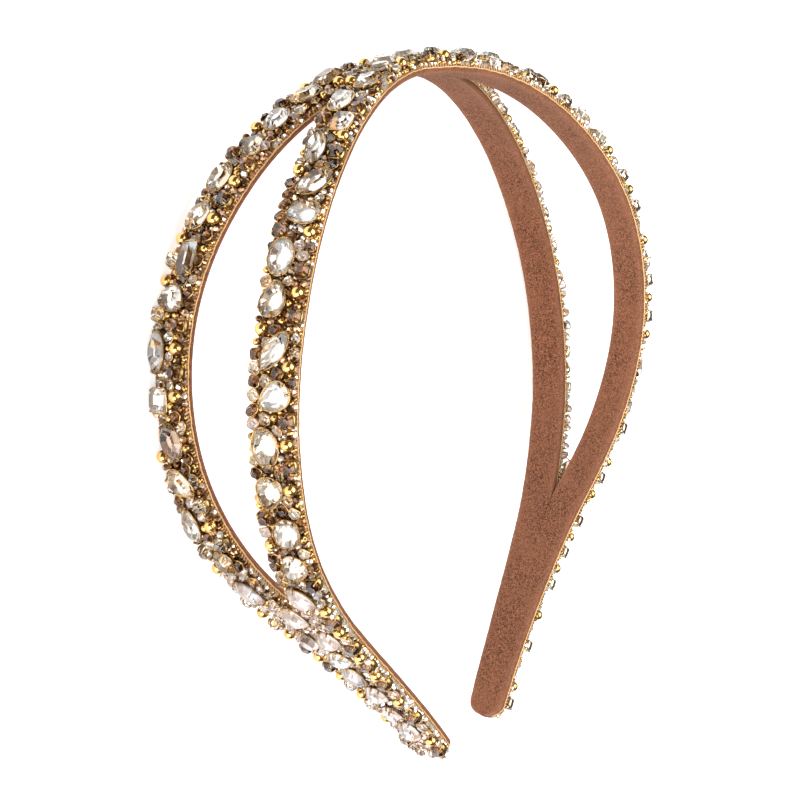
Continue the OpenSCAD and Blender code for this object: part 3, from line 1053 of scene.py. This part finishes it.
class HEADBAND_OT_seeds(PieceOperator, bpy.types.Operator):
    """Fill the cloth between the stones with small round and cut beads and small framed stones"""

    bl_idname = "headband.seeds"
    bl_label = "Seed beads"

    # Sewn beads, biggest first: half width, kind, how far one may be lifted,
    # share of a stone's outline that it stays out of
    sizes = (
        (1.15, "gem", 0.2, 0.95), (0.92, "gem", 0.3, 0.95), (0.78, "round", 0.5, 0.95),
        (0.68, "cut", 0.6, 0.85), (0.6, "round", 0.5, 0.8), (0.48, "cut", 0.3, 0.7),
        (0.42, "round", 0.3, 0.66), (0.34, "round", 0.0, 0.6))
    # How close two of a size may come, in half widths, and how many of the last found are minded
    closest, recent = 1.8, 40
    # Beads larger than the first keep their middles the second off the edge that is seen from inside
    large, clear = 0.6, 1.1
    # Directions of a small framed stone's corners
    corners = np.radians(np.arange(22.5, 360, 45))
    # Materials of the cut beads and framed stones, in their order
    chips, glass, opal, champagne, umber, brown = range(6)

    def taken(self, hoop):
        """The cloth that the stones and gold beads cover, as small discs.

        A disc is its place along, its place across from the seam, its radius and its share of the outline.
        """
        discs = []
        for name, side in STRANDS:
            for node in ("_crystals", "_chatons", "_beads"):
                for seat, flat, _, _ in seats(hoop, name + node, side, flat=False):
                    corners = hull(flat)
                    middle = corners.mean(0)
                    for k in (0.15, 0.35, 0.6, 0.8, 0.95):
                        p, same = middle + (corners - middle) * k, np.ones(len(corners))
                        u = side * (float(hoop.spread(seat.s)) + seat.w) + p[:, 1]
                        discs.append(np.column_stack((seat.s - p[:, 0], u, same * 0.2, same * k)))
        return np.concatenate(discs)

    def edging(self, hoop, rng):
        """Places of beads along every edge: size, kind, height, side, along and across."""
        for side, s, w, way in edge_lines(hoop):
            for k in range(2, len(s), 5):
                if s[k] > SEEN_FROM_INSIDE and way > 0 and rng.random() < 0.2:
                    continue
                r, h = rng.uniform(0.48, 0.64), hoop.ground_low + rng.uniform(0.78, 0.98)
                kind, along = rng.choice(("round", "cut")), s[k] + rng.uniform(-0.12, 0.12)
                yield r, kind, h, side, along, w[k] - way * 0.05

    def places(self, hoop, rng):
        """Free places for the beads: size, kind, height, side, along and across.

        The cloth is filled block by block, and of the taken cloth only what is within reach is looked at.
        """
        discs, blocks, reach = self.taken(hoop), 66, 7
        for r, kind, lift, share in self.sizes:
            s = np.arange(-hoop.half + 0.5 + r, hoop.half - 0.5 - r, r * 0.5)
            for _, side in STRANDS:
                found = []
                for block in np.array_split(s, blocks):
                    near = discs[(np.abs(discs[:, 0] - block.mean()) < reach) & (discs[:, 3] <= share)]
                    for a in block:
                        b = np.arange(hoop.inner(a) + r * 0.2, hoop.outer(a) - r * 0.1, r * 0.5)
                        w = b + rng.uniform(-0.15, 0.15, len(b))
                        along = a + rng.uniform(-0.15, 0.15, len(b))
                        u = side * (hoop.spread(along) + w)
                        gap = np.hypot(along[:, None] - near[:, 0], u[:, None] - near[:, 1])
                        gap = gap - near[:, 2] - r
                        for i in np.flatnonzero(gap.min(1) > 0):
                            x, y = along[i], u[i]
                            last, free = found[-self.recent:], (self.closest * r) ** 2
                            if all((x - p[0]) ** 2 + (y - p[1]) ** 2 > free for p in last):
                                found.append((x, y, r * 0.92, 0.0))
                                h = hoop.ground_high + r * 0.85 + rng.uniform(0, lift)
                                yield r, kind, h, side, x, w[i]
                if found:
                    discs = np.concatenate((discs, np.array(found)))

    def framed_stone(self, r, rng, ends):
        """A small framed stone: its points, faces and materials, and its frame's points and faces."""
        if rng.random() < (0.8 if ends else 0.35):
            long, wide, corner = 1.25, 0.85, 1.0
        else:
            long, wide, corner = 0.95, 0.95, 0.6
        sides = [np.sign(c) * np.abs(c) ** corner for c in (np.cos(self.corners), np.sin(self.corners))]
        outline = r * np.column_stack((sides[0] * long, sides[1] * wide))
        verts, faces, kinds = fancy_cut(outline, -0.5 * r, 0.75 * r)
        shares = (0.75, 0.25, 0.0) if ends else (0.1, 0.45, 0.45)
        foil = rng.choice((self.opal, self.champagne, self.umber), p=shares)
        mats = np.where(np.array(kinds) == GLASS, self.brown if foil == self.umber else self.glass, foil)
        return verts, faces, mats, *wire_ring(outline, 0.05 * r, 0.12, 5)

    def execute(self, context):
        hoop, _, _, look, rng = self.start(context)
        metals = [
            metal_material("seed_gold", look.gold, shade(look.gold, 0.3), 0.12),
            metal_material("seed_bronze", look.bronze, shade(look.bronze, 0.3), 0.08)]
        cut_mats = [
            cut_bead_material(),
            glass_material("small_stone_glass", look.glass),
            foil_material("small_opal_foil", FOIL_TINTS_AND_REFLECTIONS["opal"], 0.35),
            foil_material("small_champagne_foil", FOIL_TINTS_AND_REFLECTIONS["champagne"], 0.6),
            foil_material("small_umber_foil", FOIL_TINTS_AND_REFLECTIONS["umber"]),
            glass_material("small_brown_glass", look.smoke)]
        rounds, cuts = {side: Pile() for _, side in STRANDS}, {side: Pile() for _, side in STRANDS}
        for r, kind, h, side, s, w in [*self.places(hoop, rng), *self.edging(hoop, rng)]:
            seat, turn = Seat(hoop, side, s, w), rng.uniform(0, math.pi)
            if s > SEEN_FROM_INSIDE and r > self.large and w > hoop.outer(s) - self.clear:
                continue
            right, left_tail = s > 0, s < -TAILS
            if kind == "gem":
                verts, faces, mats, ring, ring_faces = self.framed_stone(r, rng, abs(s) > TAILS or right)
                # Each facet gets a painted shade, standing in for the light that it reflects
                facet_tones_and_light, t = self.shades(rng, len(faces)), rng.random()
                verts, ring = (seat.out(spin(v, turn) + (0, 0, h)) for v in (verts, ring))
                if verts[:, 2].min() > 0.0001:
                    cuts[side].add_facets(verts, faces, mats, facet_tones_and_light)
                    rounds[side].add(ring, ring_faces, 0, t)
            elif kind == "cut" or rng.random() < (0.5 if right else 0.7 if left_tail else 0):
                verts, faces = cut_bead(r, r * 0.85)
                verts = seat.out(spin(verts, turn, rng.uniform(-0.6, 0.6)) + (0, 0, h))
                shades = (0.75, 0.85, 0.95) if right or left_tail else (0.15, 0.35, 0.65, 0.85)
                if verts[:, 2].min() > 0:
                    # Each cut bead has its own tone; around it every facet gets a painted shade for the light
                    # that it reflects
                    facet_tones_and_light = np.clip(rng.normal(rng.choice(shades), 0.18, len(faces)), 0, 1)
                    cuts[side].add_facets(verts, faces, [self.chips] * len(faces), facet_tones_and_light)
            else:
                rings, sides = (8, 12) if r > self.large else (5, 8)
                verts, faces = drilled(r, r * 0.32, rings, sides, 0.9)
                verts = seat.out(spin(verts, turn, rng.uniform(-0.4, 0.4)) + (0, 0, h))
                dark, tone = int(rng.random() < (0.06 if right else 0.25)), rng.random()
                if verts[:, 2].min() > 0:
                    rounds[side].add(verts, faces, dark, tone)
        for name, side in STRANDS:
            rounds[side].done(name + "_seed_beads", metals, "gold")
            cuts[side].done(name + "_cut_beads", cut_mats, "crystal", smooth=False)
        return {"FINISHED"}


class HEADBAND_OT_stage(PieceOperator, bpy.types.Operator):
    """Set the floor, the soft lights and the camera"""

    bl_idname = "headband.stage"
    bl_label = "Floor, lights and camera"

    reach = 20  # of the floor, in metres
    glow_tint = (0.965, 0.985, 1.0, 1.0)
    room_tint = (1.0, 0.84, 0.64)
    # Place and size of each light, in metres
    top_light = ((0.15, 0.1, 0.9), 1.0)
    side_light = ((-0.75, -0.25, 0.3), 0.7)
    aim = (0, 0, 0.02)

    def execute(self, context):
        settings = context.scene.headband
        studio, look = settings.studio, settings.look
        net = Net("floor_paper")
        tint = net.mix(net.noise(60), shade(look.floor, 0.985), look.floor)
        paper = net.surface(
            Base_Color=tint, Roughness=0.8, Specular_IOR_Level=0.2,
            Emission_Color=self.glow_tint, Emission_Strength=studio.glow)
        mesh = bpy.data.meshes.new("floor")
        corners = [(x * self.reach, y * self.reach, 0) for x, y in ((-1, -1), (1, -1), (1, 1), (-1, 1))]
        mesh.from_pydata(corners, [], [(0, 1, 2, 3)])
        mesh.materials.append(paper)
        floor = bpy.data.objects.new("floor", mesh)
        context.scene.collection.objects.link(floor)
        data = bpy.data.cameras.new("camera")
        data.lens, data.sensor_width, data.clip_end = studio.lens, 36.0, 20.0
        camera = bpy.data.objects.new("camera", data)
        camera.location = Vector(studio.eye) * MM
        camera.rotation_euler = studio.turn
        context.scene.collection.objects.link(camera)
        context.scene.camera = camera
        for name, power in (("top_light", studio.top), ("side_light", studio.side)):
            place, size = getattr(self, name)
            light = bpy.data.lights.new(name, "AREA")
            light.shape, light.size, light.energy = "SQUARE", size, power
            lamp = bpy.data.objects.new(name, light)
            lamp.location = place
            lamp.rotation_euler = (Vector(place) - Vector(self.aim)).to_track_quat("Z", "Y").to_euler()
            context.scene.collection.objects.link(lamp)
        room = Net("room", world=True)
        room.node(
            "ShaderNodeOutputWorld", {}, room.node("ShaderNodeBackground", {}, self.room_tint, studio.room))
        context.scene.world = room.data
        context.scene.view_settings.view_transform = "Standard"
        return {"FINISHED"}


OPERATORS = (
    HEADBAND_OT_ground,
    HEADBAND_OT_lining,
    HEADBAND_OT_edges,
    HEADBAND_OT_crystals,
    HEADBAND_OT_chatons,
    HEADBAND_OT_beads,
    HEADBAND_OT_seeds,
    HEADBAND_OT_stage,
)


class HeadbandSettings(bpy.types.PropertyGroup):
    """All settings of the headband"""

    strand: PointerProperty(name="Strands", description="Sizes of the strands", type=StrandSizes)
    stones: PointerProperty(name="Stones", description="Sizes of the metalwork", type=StoneSizes)
    look: PointerProperty(name="Finishes", description="Colours", type=Finishes)
    studio: PointerProperty(name="Studio", description="Camera and lights", type=Studio)


class HEADBAND_PT_panel(bpy.types.Panel):
    """Steps that build the headband"""

    bl_label = "Headband"
    bl_idname = "HEADBAND_PT_panel"
    bl_space_type = "VIEW_3D"
    bl_region_type = "UI"
    bl_category = "Headband"

    def draw(self, context):
        settings = context.scene.headband
        for group in (settings.strand, settings.stones, settings.look, settings.studio):
            box = self.layout.box()
            for name in group.__annotations__:
                box.prop(group, name)
        for operator in OPERATORS:
            self.layout.operator(operator.bl_idname)


CLASSES = (StrandSizes, StoneSizes, Finishes, Studio, HeadbandSettings, *OPERATORS, HEADBAND_PT_panel)


def register():
    """Make the classes and the scene's settings known to Blender."""
    for item in CLASSES:
        bpy.utils.register_class(item)
    bpy.types.Scene.headband = PointerProperty(type=HeadbandSettings)


def unregister():
    """Take them away again."""
    del bpy.types.Scene.headband
    for item in reversed(CLASSES):
        bpy.utils.unregister_class(item)


def main():
    """Build the headband."""
    register()
    for operator in OPERATORS:
        group, name = operator.bl_idname.split(".")
        getattr(getattr(bpy.ops, group), name)()


if __name__ == "__main__":
    main()
